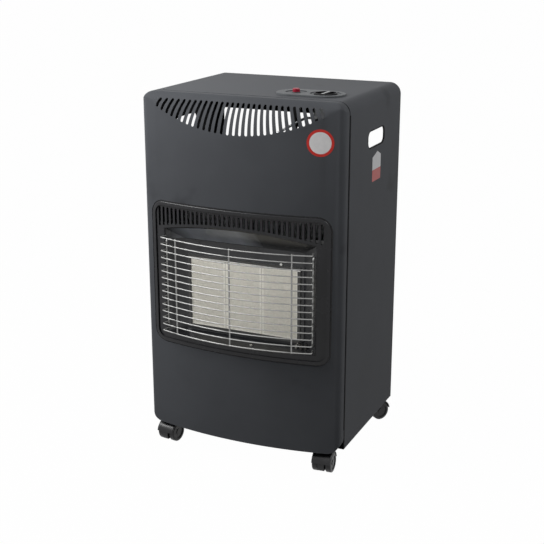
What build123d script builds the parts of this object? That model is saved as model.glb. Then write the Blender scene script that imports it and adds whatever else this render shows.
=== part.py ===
from build123d import *
from math import asin, atan2, cos, radians, sin, sqrt, tan
import os

# Portable cabinet gas heater: steel cabinet on casters, bowed front, three-plaque radiant burner behind a
# wire guard, controls on top, bottle bay behind. Millimetres, +Z up, the front faces -Y, the origin lies on
# the floor under the middle of the whole heater.

# ---- Cabinet ----------------------------------------------------------------------------------------
WIDTH = 420.0
HEIGHT = 735.0
UNDERSIDE = 47.5
SHEET = 1.0
FRONT_Y = -188.5          # middle of the bowed front
BOW = 26.5                # how far the middle stands in front of the front's side edges
BOW_HALF = 205.0          # half width over which BOW is counted
SEAM_Y = -134.5           # joint between front panel and cabinet shell
REAR_Y = 155.0
TOP_BEND = 23.0           # bend between side and top
EDGE_BEND = 14.0          # bend between bowed front and its side flange
FOOT_ROUND = 25.0         # lower corners of the front panel
SEAM_GAP = 0.5
LIP = 18.0                # inward lips of the shell

BOW_RADIUS = (BOW_HALF**2 + BOW**2) / (2 * BOW)
BOW_CENTRE_Y = FRONT_Y + BOW_RADIUS
HALF = WIDTH / 2

# ---- Sloped facet with fan slots --------------------------------------------------------------------
FACET_DROP = 64.0         # height over which the facet runs out to the middle of the bow
FACET_TOP_Z = HEIGHT - 8
FACET_TOP_Y = FRONT_Y + BOW
FACET_FOOT_LEAN = radians(7)
FACET_TOP_LEAN = 2 * atan2(BOW, FACET_DROP) - FACET_FOOT_LEAN
FAN_SLOTS = 29
FAN_STEP = radians(1.92)  # angle from slot to slot about the fan's centre
FAN_CENTRE_Z = 1047.0
FAN_TOP_Z = 721.6         # centre of each slot's rounded top
FAN_FOOT_R = 377.6        # distance of the rounded feet from the fan's centre
FAN_WIDTH = 5.8
FAN_BOW = 0.06            # sideways bow of a slot for each step away from the middle

# ---- Handles, rear and base -------------------------------------------------------------------------
HANDLE_Y, HANDLE_Z = 12.0, 647.2
HANDLE_LENGTH, HANDLE_HEIGHT, HANDLE_CORNER = 92.0, 31.6, 12.0
HANDLE_FLANGE = 3.0
RAIL_FOOT_Z = 662.0
SHIELD_Y = -76.0
SHIELD_TOP_Z = 640.0
COVER_REAR_Y = 215.0
COVER_FOOT_Z, COVER_TOP_Z = 56.0, 575.0
COVER_FLAT_HALF = 148.0
COVER_HALF = 207.0
HOOK_Z = (130.0, 500.0)
BASE_Z = UNDERSIDE + SHEET
BASE_SHEET = 1.2
SHELF_HALF = 130.0        # floor shelf that reaches back under the rear cover
SCREW_R = 2.0
SCREW_HEAD_R = 4.0
SMALL_HEAD_R = 2.5

# ---- Burner -----------------------------------------------------------------------------------------
SURROUND_HALF = 192.0
SURROUND_Z = (230.5, 525.5)
SURROUND_CORNER = 28.0
SURROUND_GAP = 2.5        # shadow gap round the surround
SURROUND_PROUD = 2.0
RIM_WIDTH = 7.0
LOUVRES = 35
LOUVRE_PITCH = 10.15
LOUVRE_WIDTH = 5.6
LOUVRE_TOP_Z = 512.5
BURNER_Y = -148.0         # plane of the reflector's back plate
MOUTH_HALF = 128.0        # reflector at its back plate
MOUTH_Z = (258.0, 446.0)
FLARE_SIDE, FLARE_TOP, FLARE_FOOT = 1.5, 1.0, 0.26
FLARE_LENGTH = 52.0
PLAQUE_W, PLAQUE_H, PLAQUE_T = 76.5, 142.0, 12.0
PLAQUE_GAP = 2.0
PLAQUE_Z = 339.5
PLAQUE_FRONT_Y = -150.0
BOX_HALF, BOX_Z, BOX_REAR_Y = 120.0, (265.0, 414.0), -104.0
TUBE_X = (-78.5, 0.0, 78.5)
TUBE_Y, TUBE_R = -91.5, 10.5
TUBE_Z = (252.0, 352.0)
INJECTOR_Z = 234.0
RAIL_Z = 228.0

# ---- Guard ------------------------------------------------------------------------------------------
WIRE_R = 1.15
STAY_R = 1.5
GUARD_HALF = 162.0
GUARD_FRONT_Y = -213.85
GUARD_BOW = 25.0
GUARD_WIRES = 15
GUARD_Z = (262.0, 455.0)
GUARD_STAY_X = 123.5
GUARD_HOOK_X, GUARD_HOOK_Y = 156.5, -173.0
GUARD_HOOK_END_Y = -163.0

# ---- Controls ---------------------------------------------------------------------------------------
CONTROL_Y = -73.0
KNOB_X, BUTTON_X = 137.0, 77.0
BEZEL_R, BEZEL_H = 38.0, 3.2
KNOB_R, KNOB_TOP_Z, KNOB_FOOT_Z = 22.0, 739.5, 724.0
BUTTON_R, BUTTON_TOP_Z = 7.0, 744.5
BRACKET_Z = 713.0
OUTLET_Z = 691.0
LEFT_OUTLET_Y = -80.0
HOSE_Z = 640.0
FRONT_OUTLET_X = (KNOB_X - 9, KNOB_X + 8)
SPINDLE_R = 3.0
RUNNING = 0.05            # radial clearance of shafts in their bores

# ---- Casters ----------------------------------------------------------------------------------------
CASTER_X = 172.0
CASTER_FRONT_Y, CASTER_REAR_Y = -128.0, 124.0
CASTER_TRAIL = 18.0
WHEEL_R, WHEEL_W = 20.0, 12.5
WEB_HALF = 6.75
WHEEL_GAP = 0.5
AXLE_R = 2.5
STEM_R = 4.0
HOOD_R, HOOD_SHEET = 24.0, 2.6
SOCKET_R = 6.0


def block(x0, x1, y0, y1, z0, z1):
    """Box between opposite corners."""
    return Pos((x0 + x1) / 2, (y0 + y1) / 2, (z0 + z1) / 2) * Box(x1 - x0, y1 - y0, z1 - z0)


def rod(radius, start, end):
    """Cylinder of a given radius from one point to another."""
    axis = Vector(*end) - Vector(*start)
    align = (Align.CENTER, Align.CENTER, Align.MIN)
    return Plane(origin=start, z_dir=axis) * Cylinder(radius, axis.length, align=align)


def ring(outer, inner, x, y, z0, z1):
    """Upright tube."""
    return rod(outer, (x, y, z0), (x, y, z1)) - rod(inner, (x, y, z0 - 1), (x, y, z1 + 1))


def hexagon(radius, x, y, z0, z1):
    """Upright hexagonal prism, radius to its corners."""
    return Pos(x, y, z0) * extrude(RegularPolygon(radius, 6), z1 - z0)


def front_y(x, inset=0.0):
    """Y of the bowed front, inset towards the inside."""
    return BOW_CENTRE_Y - sqrt((BOW_RADIUS - inset)**2 - x**2)


def facet_y(x, z):
    """Y of the rounded facet: upright arcs between the bowed front and a straight upper line."""
    share = max(1 - (x / BOW_HALF)**2, 0.0001)
    foot_y, foot_z = FACET_TOP_Y - BOW * share, FACET_TOP_Z - FACET_DROP * share
    if z < foot_z:
        return foot_y - (foot_z - z) * tan(FACET_FOOT_LEAN)
    if z > FACET_TOP_Z:
        return FACET_TOP_Y + (z - FACET_TOP_Z) * tan(FACET_TOP_LEAN)
    chord = sqrt(BOW**2 + FACET_DROP**2) * share
    radius = chord / (2 * sin((FACET_TOP_LEAN - FACET_FOOT_LEAN) / 2))
    lean = asin(sin(FACET_FOOT_LEAN) + (z - foot_z) / radius)
    return foot_y + radius * (cos(FACET_FOOT_LEAN) - cos(lean))


def pipe(points, radius, bend):
    """Round bar along straight runs joined by bends."""
    path = FilletPolyline(*points, radius=bend)
    return sweep(Plane(origin=path @ 0, z_dir=path % 0) * Circle(radius), path=path)


# ---- Sheet-metal outlines -----------------------------------------------------------------------------
def bow_plan(inset, back_y):
    """Plan of the front: straight sides, bowed face, rounded where they meet."""
    half = HALF - inset
    corner_y = front_y(half, inset)
    outline = Line((-half, back_y), (-half, corner_y)) + ThreePointArc(
        (-half, corner_y), (0, FRONT_Y + inset), (half, corner_y))
    outline += Line((half, corner_y), (half, back_y)) + Line((half, back_y), (-half, back_y))
    face = make_face(outline)
    corners = face.vertices().filter_by(lambda v: v.Y < corner_y + 0.01)
    return fillet(corners, EDGE_BEND - inset)


def elevation(inset, foot_corner, y0, y1, foot_z=UNDERSIDE):
    """Front elevation of the cabinet as a prism along Y."""
    half = HALF - inset
    top = HEIGHT - inset
    face = Pos(0, (foot_z + inset + top) / 2) * Rectangle(2 * half, top - foot_z - inset)
    if TOP_BEND > inset:
        face = fillet(face.vertices().group_by(Axis.Y)[-1], TOP_BEND - inset)
    if foot_corner > inset:
        face = fillet(face.vertices().group_by(Axis.Y)[0], foot_corner - inset)
    return Plane(origin=(0, y1, 0), x_dir=(1, 0, 0), z_dir=(0, -1, 0)) * extrude(face, y1 - y0)


def behind_bow(inset, z0, z1, back_y=-100.0):
    """Everything behind the bowed surface at an inset, down to back_y."""
    half = HALF + 20
    edge_y = front_y(half, inset)
    outline = Line((-half, back_y), (-half, edge_y)) + ThreePointArc(
        (-half, edge_y), (0, FRONT_Y + inset), (half, edge_y))
    outline += Line((half, edge_y), (half, back_y)) + Line((half, back_y), (-half, back_y))
    return Pos(0, 0, z0) * extrude(make_face(outline), z1 - z0)


def bow_slab(outer_inset, inner_inset, z0, z1):
    """Curved plate between two insets of the bowed surface."""
    return behind_bow(outer_inset, z0, z1) - behind_bow(inner_inset, z0 - 1, z1 + 1)


def window(half, z_range, corner, y0=-240.0, y1=-100.0):
    """Rounded rectangular prism along Y."""
    z0, z1 = z_range
    face = Pos(0, (z0 + z1) / 2) * RectangleRounded(2 * half, z1 - z0, corner)
    return Plane(origin=(0, y1, 0), x_dir=(1, 0, 0), z_dir=(0, -1, 0)) * extrude(face, y1 - y0)


# ---- Cabinet shell ------------------------------------------------------------------------------------
def rounded_slot(side, grow, x0, x1):
    """Prism along X in the shape of the handle hole."""
    face = RectangleRounded(HANDLE_LENGTH + 2 * grow, HANDLE_HEIGHT + 2 * grow, HANDLE_CORNER + grow)
    plane = Plane(origin=(side * x0, HANDLE_Y, HANDLE_Z), x_dir=(0, 1, 0), z_dir=(side, 0, 0))
    return plane * extrude(face, x1 - x0)


def racetrack(radius, z0, z1):
    """Upright prism round the knob and the button."""
    length = KNOB_X - BUTTON_X + 2 * radius
    face = SlotOverall(length, 2 * radius)
    return Pos((KNOB_X + BUTTON_X) / 2, CONTROL_Y, z0) * extrude(face, z1 - z0)


def rail_screw_places():
    return [(side * 202, z) for side in (-1, 1) for z in (680, 708)]


def base_screw_places():
    return [(side * 202, y) for side in (-1, 1) for y in (-100, 90)]


def caster_places():
    """Stem position, the side the wheels trail to, and their turn about the stem in degrees."""
    return {
        "front_left": (-CASTER_X, CASTER_FRONT_Y, -1, -7),
        "front_right": (CASTER_X, CASTER_FRONT_Y, -1, 4),
        "rear_left": (-CASTER_X, CASTER_REAR_Y, 1, 20),
        "rear_right": (CASTER_X, CASTER_REAR_Y, 1, -35),
    }


def cabinet_shell():
    shell = elevation(0, 0, SEAM_Y, REAR_Y)
    shell -= elevation(SHEET, 0, SEAM_Y - 1, REAR_Y + 1, UNDERSIDE - 5)
    rear_lip = elevation(0, 0, REAR_Y - SHEET, REAR_Y)
    rear_lip -= elevation(LIP, 0, REAR_Y - 5, REAR_Y + 5, UNDERSIDE - LIP - 5)
    shell += rear_lip
    for side in (-1, 1):
        near, far = sorted((side * HALF, side * (HALF - LIP)))
        shell += block(near, far, SEAM_Y, REAR_Y, UNDERSIDE, BASE_Z)
        gusset_x = sorted((side * (HALF - 0.5), side * (HALF - 26)))
        shell += block(*gusset_x, SEAM_Y + 0.2, SEAM_Y + 1.2, UNDERSIDE + 0.5, UNDERSIDE + 34)
        shell += rounded_slot(side, SHEET, HALF - HANDLE_FLANGE, HALF - SHEET / 2)
        shell -= rounded_slot(side, 0, HALF - HANDLE_FLANGE - 5, HALF + 5)
        for z in HOOK_Z:
            shell -= block(*sorted((side * 196, side * 206)), REAR_Y - 3, REAR_Y + 3, z, z + 30)
    shell -= racetrack(BEZEL_R - 5, HEIGHT - 5, HEIGHT + 5)
    for x, z in rail_screw_places():
        shell -= rod(SCREW_R + 0.1, (x, REAR_Y - 5, z), (x, REAR_Y + 5, z))
    for x, y in base_screw_places():
        shell -= rod(SCREW_R + 0.1, (x, y, UNDERSIDE - 5), (x, y, BASE_Z + 2))
    return shell


# ---- Front panel --------------------------------------------------------------------------------------
def facet_cutter(inset):
    """Everything in front of and above the rounded facet, moved inwards by the inset."""
    columns = [-210 + 10.5 * column for column in range(41)]
    rows = [630 + 6 * row for row in range(21)]
    points = [[Vector(x, facet_y(x, z) + 1.15 * inset, z) for z in rows] for x in columns]
    face = Face.make_surface_from_array_of_points(points, tol=0.2, min_deg=3, max_deg=5)
    return extrude(face, amount=80, dir=(0, -1, 0))


def front_block(inset, back_y):
    """Solid inside the front panel's faces."""
    solid = Pos(0, 0, UNDERSIDE) * extrude(bow_plan(inset, back_y), HEIGHT - UNDERSIDE)
    solid = solid & elevation(inset, FOOT_ROUND, -260, back_y + 1)
    solid -= facet_cutter(inset)
    upper = [e for e in solid.edges() if abs(e.center().Z - HEIGHT + inset) < 0.5 and e.length > 300]
    ridge = min(upper, key=lambda edge: edge.center().Y)
    return fillet(ridge, 9.0 - inset)


def fan_slot(index):
    """Slot through the facet along a ray from the fan's centre, slightly bowed outwards."""
    angle = index * FAN_STEP
    top = (FAN_CENTRE_Z - FAN_TOP_Z) / cos(angle)

    def on_ray(distance, aside):
        return (distance * sin(angle) + aside * cos(angle),
                FAN_CENTRE_Z - distance * cos(angle) + aside * sin(angle))

    if index == 0:
        line = Line(on_ray(top, 0), on_ray(FAN_FOOT_R, 0))
    else:
        middle = on_ray((top + FAN_FOOT_R) / 2, FAN_BOW * index)
        line = ThreePointArc(on_ray(top, 0), middle, on_ray(FAN_FOOT_R, 0))
    plane = Plane(origin=(0, -130, 0), x_dir=(1, 0, 0), z_dir=(0, -1, 0))
    return plane * extrude(SlotArc(line, FAN_WIDTH), 80)


def front_panel():
    back_y = SEAM_Y - SEAM_GAP
    panel = front_block(0, back_y) - front_block(SHEET, back_y + 10)
    panel -= block(-180, 180, -165, SEAM_Y, UNDERSIDE - 1, BASE_Z + 1)
    groove = elevation(-1, 0, SEAM_Y - 3.5, SEAM_Y) - elevation(1.3, 0, SEAM_Y - 4, SEAM_Y + 1)
    panel -= groove & block(-HALF - 5, HALF + 5, SEAM_Y - 5, SEAM_Y + 5, 90, HEIGHT + 5)
    step = elevation(0.5, 0, SEAM_Y - 7, SEAM_Y - 3.5)
    step -= elevation(2.3, 0, SEAM_Y - 8, SEAM_Y + 5, UNDERSIDE - 5)
    tongue = elevation(1.3, 0, SEAM_Y - 7, SEAM_Y + 12)
    tongue -= elevation(2.3, 0, SEAM_Y - 8, SEAM_Y + 20, UNDERSIDE - 5)
    panel += (step + tongue) & block(-HALF, HALF, SEAM_Y - 10, SEAM_Y + 20, 90, HEIGHT)
    panel -= window(SURROUND_HALF, SURROUND_Z, SURROUND_CORNER)
    for index in range(FAN_SLOTS):
        panel -= fan_slot(index - FAN_SLOTS // 2)
    return panel


# ---- Base, rail, cover, shield ------------------------------------------------------------------------
def base_plate():
    plate = block(-HALF + 1.5, HALF - 1.5, SEAM_Y + 1.5, REAR_Y - 1.2, BASE_Z, BASE_Z + BASE_SHEET)
    toe = behind_bow(3, BASE_Z, BASE_Z + BASE_SHEET, SEAM_Y + 5)
    plate += toe & block(-183, 183, -260, SEAM_Y + 5, BASE_Z, BASE_Z + 10)
    plate += block(-SHELF_HALF, SHELF_HALF, REAR_Y - 5, COVER_REAR_Y - SHEET - 4, BASE_Z, BASE_Z + BASE_SHEET)
    for x in (-90, -30, 30, 90):
        plate += block(x - 3, x + 3, SHIELD_Y + 25, REAR_Y + 30, BASE_Z + BASE_SHEET / 2, BASE_Z + 2.4)
    for x, y, _, _ in caster_places().values():
        plate -= rod(SOCKET_R + 0.1, (x, y, BASE_Z - 5), (x, y, BASE_Z + 5))
    for x, y in base_screw_places():
        plate -= rod(SCREW_R + 0.1, (x, y, BASE_Z - 5), (x, y, BASE_Z + 5))
    return plate


def rear_rail():
    y1 = REAR_Y - SHEET - 0.1
    rail = block(-HALF + 2, HALF - 2, y1 - SHEET, y1, RAIL_FOOT_Z, HEIGHT - TOP_BEND)
    rail += block(-HALF + TOP_BEND, HALF - TOP_BEND, y1 - SHEET, y1, RAIL_FOOT_Z, HEIGHT - 1.5)
    rail += block(-HALF + 18, HALF - 18, y1 - 12, y1, RAIL_FOOT_Z, RAIL_FOOT_Z + SHEET)
    for x, z in rail_screw_places():
        rail -= rod(SCREW_R + 0.1, (x, y1 - 5, z), (x, y1 + 5, z))
    return rail


def cover_outline(inset):
    """Half of the cover's bulge in plan, from its side edge to the middle, inset towards the inside."""
    y0, y1 = REAR_Y + 0.6, COVER_REAR_Y
    return [(-COVER_HALF, y0 + SHEET - inset), (-COVER_HALF + 18 + inset / 2, y0 + SHEET - inset),
            (-COVER_FLAT_HALF + inset / 2, y1 - inset)]


def rear_cover():
    outer, inner = cover_outline(0), cover_outline(SHEET)
    ring_points = outer + [(-x, y) for x, y in reversed(outer)]
    ring_points += [(-x, y) for x, y in inner] + list(reversed(inner))
    wall = make_face(Polyline(*ring_points, close=True))
    cover = Pos(0, 0, COVER_FOOT_Z) * extrude(wall, COVER_TOP_Z - COVER_FOOT_Z)
    roof = make_face(Polyline(*(outer + [(-x, y) for x, y in reversed(outer)]), close=True))
    for z in (COVER_FOOT_Z, COVER_TOP_Z - SHEET):
        plate = Pos(0, 0, z) * extrude(roof, SHEET)
        cover += plate & block(-HALF, HALF, COVER_REAR_Y - 14, COVER_REAR_Y, z, z + SHEET)
    for row_z in (110, 490):
        for column in range(-5, 6):
            x = column * 20
            cover -= block(x - 3, x + 3, COVER_REAR_Y - 5, COVER_REAR_Y + 5, row_z, row_z + 34)
    for side in (-1, 1):
        x0, x1 = sorted((side * 200, side * 202))
        for z in HOOK_Z:
            cover += block(x0, x1, REAR_Y - 1.5, REAR_Y + 0.8, z + 0.3, z + 12)
            cover += block(x0, x1, REAR_Y - 5, REAR_Y - 1.5, z - 8, z + 12)
    return cover


def heat_shield():
    z0 = BASE_Z + BASE_SHEET
    shield = block(-HALF + 3.5, HALF - 3.5, SHIELD_Y, SHIELD_Y + SHEET, z0, SHIELD_TOP_Z)
    shield += block(-HALF + 3.5, HALF - 3.5, SHIELD_Y - 12, SHIELD_Y + SHEET, z0, z0 + SHEET)
    for side in (-1, 1):
        x0, x1 = sorted((side * (HALF - 3.5), side * (HALF - 4.5)))
        shield += block(x0, x1, SHIELD_Y - 14, SHIELD_Y + SHEET, z0, SHIELD_TOP_Z)
    return shield


def screws(places, axis_point, head_r=SCREW_HEAD_R):
    """Pan-head screws, one solid each. axis_point maps a place to head, seat and tip points."""
    group = []
    for place in places:
        head, seat, tip = axis_point(place)
        group.append(rod(head_r, head, seat) + rod(SCREW_R - 0.4, seat, tip))
    return Compound(children=group)


# ---- Surround and reflector ----------------------------------------------------------------------------
def funnel(grow):
    """Tapered space in front of the burner, wider by grow square to its walls."""
    side = grow * sqrt(1 + FLARE_SIDE**2)
    top = grow * sqrt(1 + FLARE_TOP**2)
    foot = grow * sqrt(1 + FLARE_FOOT**2)
    sections = []
    for depth in (-20.0, FLARE_LENGTH):
        half = MOUTH_HALF + side + FLARE_SIDE * depth
        z0 = MOUTH_Z[0] - foot - FLARE_FOOT * depth
        z1 = MOUTH_Z[1] + top + FLARE_TOP * depth
        plane = Plane(origin=(0, BURNER_Y - depth, (z0 + z1) / 2), x_dir=(1, 0, 0), z_dir=(0, -1, 0))
        sections.append(plane * Rectangle(2 * half, z1 - z0))
    solid = loft(sections, ruled=True)
    return solid & block(-HALF, HALF, BURNER_Y - FLARE_LENGTH, BURNER_Y, 0, HEIGHT)


def visor_z(x):
    """Height at which the funnel's top wall meets the bowed front."""
    return MOUTH_Z[1] + FLARE_TOP * (BURNER_Y - front_y(x))


def burner_surround():
    gap = SURROUND_GAP
    z0, z1 = SURROUND_Z
    body = window(SURROUND_HALF - gap, (z0 + gap, z1 - gap), SURROUND_CORNER - gap)
    field = window(SURROUND_HALF - gap - RIM_WIDTH, (z0 + gap + RIM_WIDTH, z1 - gap - RIM_WIDTH),
                   SURROUND_CORNER - gap - RIM_WIDTH)
    flange = window(SURROUND_HALF + 7, (z0 - 7, z1 + 7), SURROUND_CORNER + 7)
    rim = bow_slab(-SURROUND_PROUD, SHEET + 0.15, z0 - 5, z1 + 5) & body
    outer_edges = [e for e in rim.edges() if abs(e.center().Y - front_y(e.center().X, -SURROUND_PROUD)) < 0.6]
    rim = fillet(outer_edges, 1.8)
    rim -= field & bow_slab(-SURROUND_PROUD - 1, 0.6, z0, z1)
    frame = rim + (bow_slab(SHEET + 0.1, SHEET + 2.1, z0 - 10, z1 + 10) & flange)
    frame -= funnel(0)
    for index in range(LOUVRES):
        x = (index - LOUVRES // 2) * LOUVRE_PITCH
        foot = visor_z(x) + 4.5
        z_mid, length = (LOUVRE_TOP_Z + foot) / 2, LOUVRE_TOP_Z - foot
        slot = extrude(SlotOverall(length, LOUVRE_WIDTH, rotation=90), 40)
        frame -= Plane(origin=(x, -160, z_mid), x_dir=(1, 0, 0), z_dir=(0, -1, 0)) * slot
    return frame


def reflector():
    wall = funnel(SHEET) - funnel(0)
    wall = wall & behind_bow(SHEET + 2.3, MOUTH_Z[0] - 40, MOUTH_Z[1] + 60, BURNER_Y)
    flange = bow_slab(SHEET + 2.3, SHEET + 3.3, SURROUND_Z[0] + 8, SURROUND_Z[1] - 45)
    flange = (flange & window(SURROUND_HALF - 8, (SURROUND_Z[0] + 8, SURROUND_Z[1] - 30), 12)) - funnel(0)
    back = window(MOUTH_HALF + 1.8, (MOUTH_Z[0] - 1, MOUTH_Z[1] + 1.4), 0.5, BURNER_Y, BURNER_Y + SHEET)
    back -= window(BOX_HALF + 2, (BOX_Z[0] - 2, BOX_Z[1] + 2), 2)
    shell = wall + flange + back
    for side in (-1, 1):
        for z in guard_hook_heights():
            shell -= guard_hook(side, z, STAY_R + 0.25)
    for place in burner_screw_places():
        _, seat, tip = burner_screw_points(place)
        shell -= rod(SCREW_R, seat, tip)
    for x, y, radius in pilot_places().values():
        shell -= rod(radius + 0.6, (x, y, MOUTH_Z[0] - 20), (x, y, MOUTH_Z[0] + 5))
    return shell


# ---- Burner -------------------------------------------------------------------------------------------
def burner_screw_places():
    """One screw through the reflector's back above the plaques, one through its floor in front of them."""
    return [("back", 80.5, 418.2), ("floor", 26.7, -172.4)]


def burner_screw_points(place):
    """Head, seat and tip of a burner screw."""
    wall, x, value = place
    if wall == "back":
        return (x, BURNER_Y - 1.9, value), (x, BURNER_Y - 0.1, value), (x, BURNER_Y + 8, value)
    floor_z = MOUTH_Z[0] - FLARE_FOOT * (BURNER_Y - value)
    across = Vector(0, FLARE_FOOT, -1).normalized()
    return [Vector(x, value, floor_z) + across * step for step in (-1.9, -0.1, 7)]


def burner_box():
    z0, z1 = BOX_Z
    y0 = BURNER_Y + 1.2
    box = block(-BOX_HALF, BOX_HALF, y0, BOX_REAR_Y, z0, z1)
    box -= block(-BOX_HALF + 1, BOX_HALF - 1, y0 - 5, BOX_REAR_Y - 1, z0 + 1, z1 - 1)
    flange = block(-BOX_HALF - 7, BOX_HALF + 7, y0, y0 + 1, z0 - 6, z1 + 14)
    box += flange - block(-BOX_HALF + 1, BOX_HALF - 1, y0 - 5, y0 + 5, z0 + 1, z1 - 1)
    ledge_y = PLAQUE_FRONT_Y + PLAQUE_T + 0.1
    ledge = block(-BOX_HALF + 0.5, BOX_HALF - 0.5, ledge_y, ledge_y + 1, z0 + 0.5, z1 - 0.5)
    ledge -= block(-BOX_HALF + 7, BOX_HALF - 7, ledge_y - 5, ledge_y + 5, z0 + 7, z1 - 7)
    box += ledge
    for side in (-1, 1):
        x = side * (PLAQUE_W + PLAQUE_GAP) / 2
        box += block(x - 0.5, x + 0.5, ledge_y, BOX_REAR_Y, z0 + 0.5, z1 - 0.5)
        box += block(x - 4, x + 4, ledge_y, ledge_y + 1, z0 + 0.5, z1 - 0.5)
    for x in TUBE_X:
        box -= rod(8, (x, BOX_REAR_Y - 3, TUBE_Z[1] - 12), (x, BOX_REAR_Y + 3, TUBE_Z[1] - 12))
    _, seat, tip = burner_screw_points(burner_screw_places()[0])
    return box - rod(SCREW_R, seat, tip)


def plaque(column):
    x = column * (PLAQUE_W + PLAQUE_GAP)
    z0 = PLAQUE_Z - PLAQUE_H / 2
    x0, y0 = x - PLAQUE_W / 2, PLAQUE_FRONT_Y
    return block(x0, x0 + PLAQUE_W, y0, y0 + PLAQUE_T, z0, z0 + PLAQUE_H)


def plaque_gasket():
    half = 1.5 * PLAQUE_W + PLAQUE_GAP
    z0, z1 = PLAQUE_Z - PLAQUE_H / 2, PLAQUE_Z + PLAQUE_H / 2
    y0, y1 = PLAQUE_FRONT_Y + 0.4, PLAQUE_FRONT_Y + PLAQUE_T
    band = block(-BOX_HALF + 1.1, BOX_HALF - 1.1, y0, y1, BOX_Z[0] + 1.1, BOX_Z[1] - 1.1)
    band -= block(-half - 0.05, half + 0.05, y0 - 5, y1 + 5, z0 - 0.05, z1 + 0.05)
    for side in (-1, 1):
        x = side * (PLAQUE_W + PLAQUE_GAP) / 2
        band += block(x - PLAQUE_GAP / 2 + 0.05, x + PLAQUE_GAP / 2 - 0.05, y0, y1, z0 - 1, z1 + 1)
    return band


def plaque_frame():
    y1 = PLAQUE_FRONT_Y - 0.2
    half, z0, z1 = BOX_HALF + 1.2, BOX_Z[0] - 1.2, BOX_Z[1] + 1.2
    frame = block(-half, half, y1 - 1, BURNER_Y + 0.9, z0, z1)
    frame -= block(-BOX_HALF - 0.2, BOX_HALF + 0.2, y1, BURNER_Y + 5, BOX_Z[0] - 0.2, BOX_Z[1] + 0.2)
    seen_half = 1.5 * PLAQUE_W + PLAQUE_GAP - 1.5
    seen_z = PLAQUE_H / 2 - 1.5
    frame -= block(-seen_half, seen_half, y1 - 5, y1 + 5, PLAQUE_Z - seen_z, PLAQUE_Z + seen_z)
    return frame


def mixing_tube(x):
    z0, z1 = TUBE_Z
    port_z = z1 - 12
    tube = rod(TUBE_R, (x, TUBE_Y, z0 + 10), (x, TUBE_Y, z1))
    tube += Pos(x, TUBE_Y, z0 + 5) * Cone(13.5, TUBE_R, 10)
    tube += rod(9, (x, BOX_REAR_Y + 0.1, port_z), (x, TUBE_Y, port_z))
    tube -= rod(TUBE_R - 1, (x, TUBE_Y, z0 + 10), (x, TUBE_Y, z1 - 1))
    tube -= Pos(x, TUBE_Y, z0 + 5) * Cone(12.5, TUBE_R - 1, 10)
    tube -= rod(8, (x, BOX_REAR_Y - 1, port_z), (x, TUBE_Y, port_z))
    return tube


def injector(x):
    z = INJECTOR_Z
    body = hexagon(6.5, x, TUBE_Y, z, z + 12.4)
    body += rod(3.4, (x, TUBE_Y, z + 12.4), (x, TUBE_Y, z + 21))
    return body - rod(0.8, (x, TUBE_Y, z + 11), (x, TUBE_Y, z + 22))


def injector_bracket():
    z = INJECTOR_Z + 12.6
    plate = block(-92, 92, BOX_REAR_Y + 0.1, TUBE_Y + 5.5, z, z + 1.4)
    plate += block(-92, 92, BOX_REAR_Y + 0.1, BOX_REAR_Y + 1.4, z, z + 38)
    plate -= block(17, 27, TUBE_Y - 6, TUBE_Y + 10, z - 5, z + 1.5)
    for x in TUBE_X:
        plate -= rod(3.5, (x, TUBE_Y, z - 5), (x, TUBE_Y, z + 5))
        plate -= block(x - 15, x + 15, TUBE_Y - 30, TUBE_Y + 30, z + 1.5, z + 40)
    return plate


def feed_rail():
    """Bar that feeds the two outer injectors, with its inlet at the right-hand end."""
    rail = rod(4, (TUBE_X[0] - 8, TUBE_Y, RAIL_Z), (TUBE_X[2] + 13.5, TUBE_Y, RAIL_Z))
    for x in (TUBE_X[0], TUBE_X[2]):
        rail += rod(5, (x, TUBE_Y, RAIL_Z), (x, TUBE_Y, INJECTOR_Z - 0.1))
    return rail


# ---- Pilot --------------------------------------------------------------------------------------------
def pilot_places():
    """Plan place and radius of what stands up through the reflector's floor."""
    return {
        "burner": (126.0, -156.5, 3.6),
        "electrode": (116.0, -156.5, 2.6),
        "thermocouple": (136.0, -156.5, 2.2),
    }


def pilot_burner():
    x, y, radius = pilot_places()["burner"]
    body = rod(radius, (x, y, 240), (x, y, 263))
    body += rod(4.5, (x, y, 240), (x, y, 247))
    body += block(x - 14, x + 14, y - 6, y + 6, 247, 248.2)
    body += rod(2.2, (x, y, 261), (x - 5, y + 1, 263))
    for name in ("electrode", "thermocouple"):
        px, py, pr = pilot_places()[name]
        body -= rod(pr + 0.1, (px, py, 240), (px, py, 255))
    return body


def ignition_electrode():
    x, y, radius = pilot_places()["electrode"]
    return rod(radius, (x, y, 240), (x, y, 261)) + rod(0.8, (x, y, 260), (x + 3, y + 1, 266))


def thermocouple():
    """Probe and the capillary that leads from it to the foot of the valve."""
    x, y, radius = pilot_places()["thermocouple"]
    probe = rod(radius, (x, y, 242), (x, y, 265))
    lead = pipe([(x, y, 243), (x, y, 228), (150, -126, 224), (150, -104, 242), (150, -100, 625),
                 (KNOB_X, CONTROL_Y, 645), (KNOB_X, CONTROL_Y, 667.9)], 1.2, 7)
    return probe + lead


def ignition_lead():
    x, y, _ = pilot_places()["electrode"]
    return pipe([(x, y, 239.9), (x, y, 206), (119, -112, 200), (101, -84, 216), (101, -86, 636),
                 (BUTTON_X, CONTROL_Y, 654), (BUTTON_X, CONTROL_Y, 663.9)], 1.6, 7)


# ---- Guard --------------------------------------------------------------------------------------------
def guard_pitch():
    return (GUARD_Z[1] - GUARD_Z[0]) / (GUARD_WIRES - 1)


def guard_hook_heights():
    return (GUARD_Z[0] + guard_pitch() - 5, GUARD_Z[1] - guard_pitch() + 5)


def guard_hook(side, z, radius):
    """Short leg that hooks the guard's end frame into the reflector's side wall."""
    x = side * GUARD_HOOK_X
    return rod(radius, (x, GUARD_HOOK_Y, z), (x, GUARD_HOOK_END_Y, z))


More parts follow.
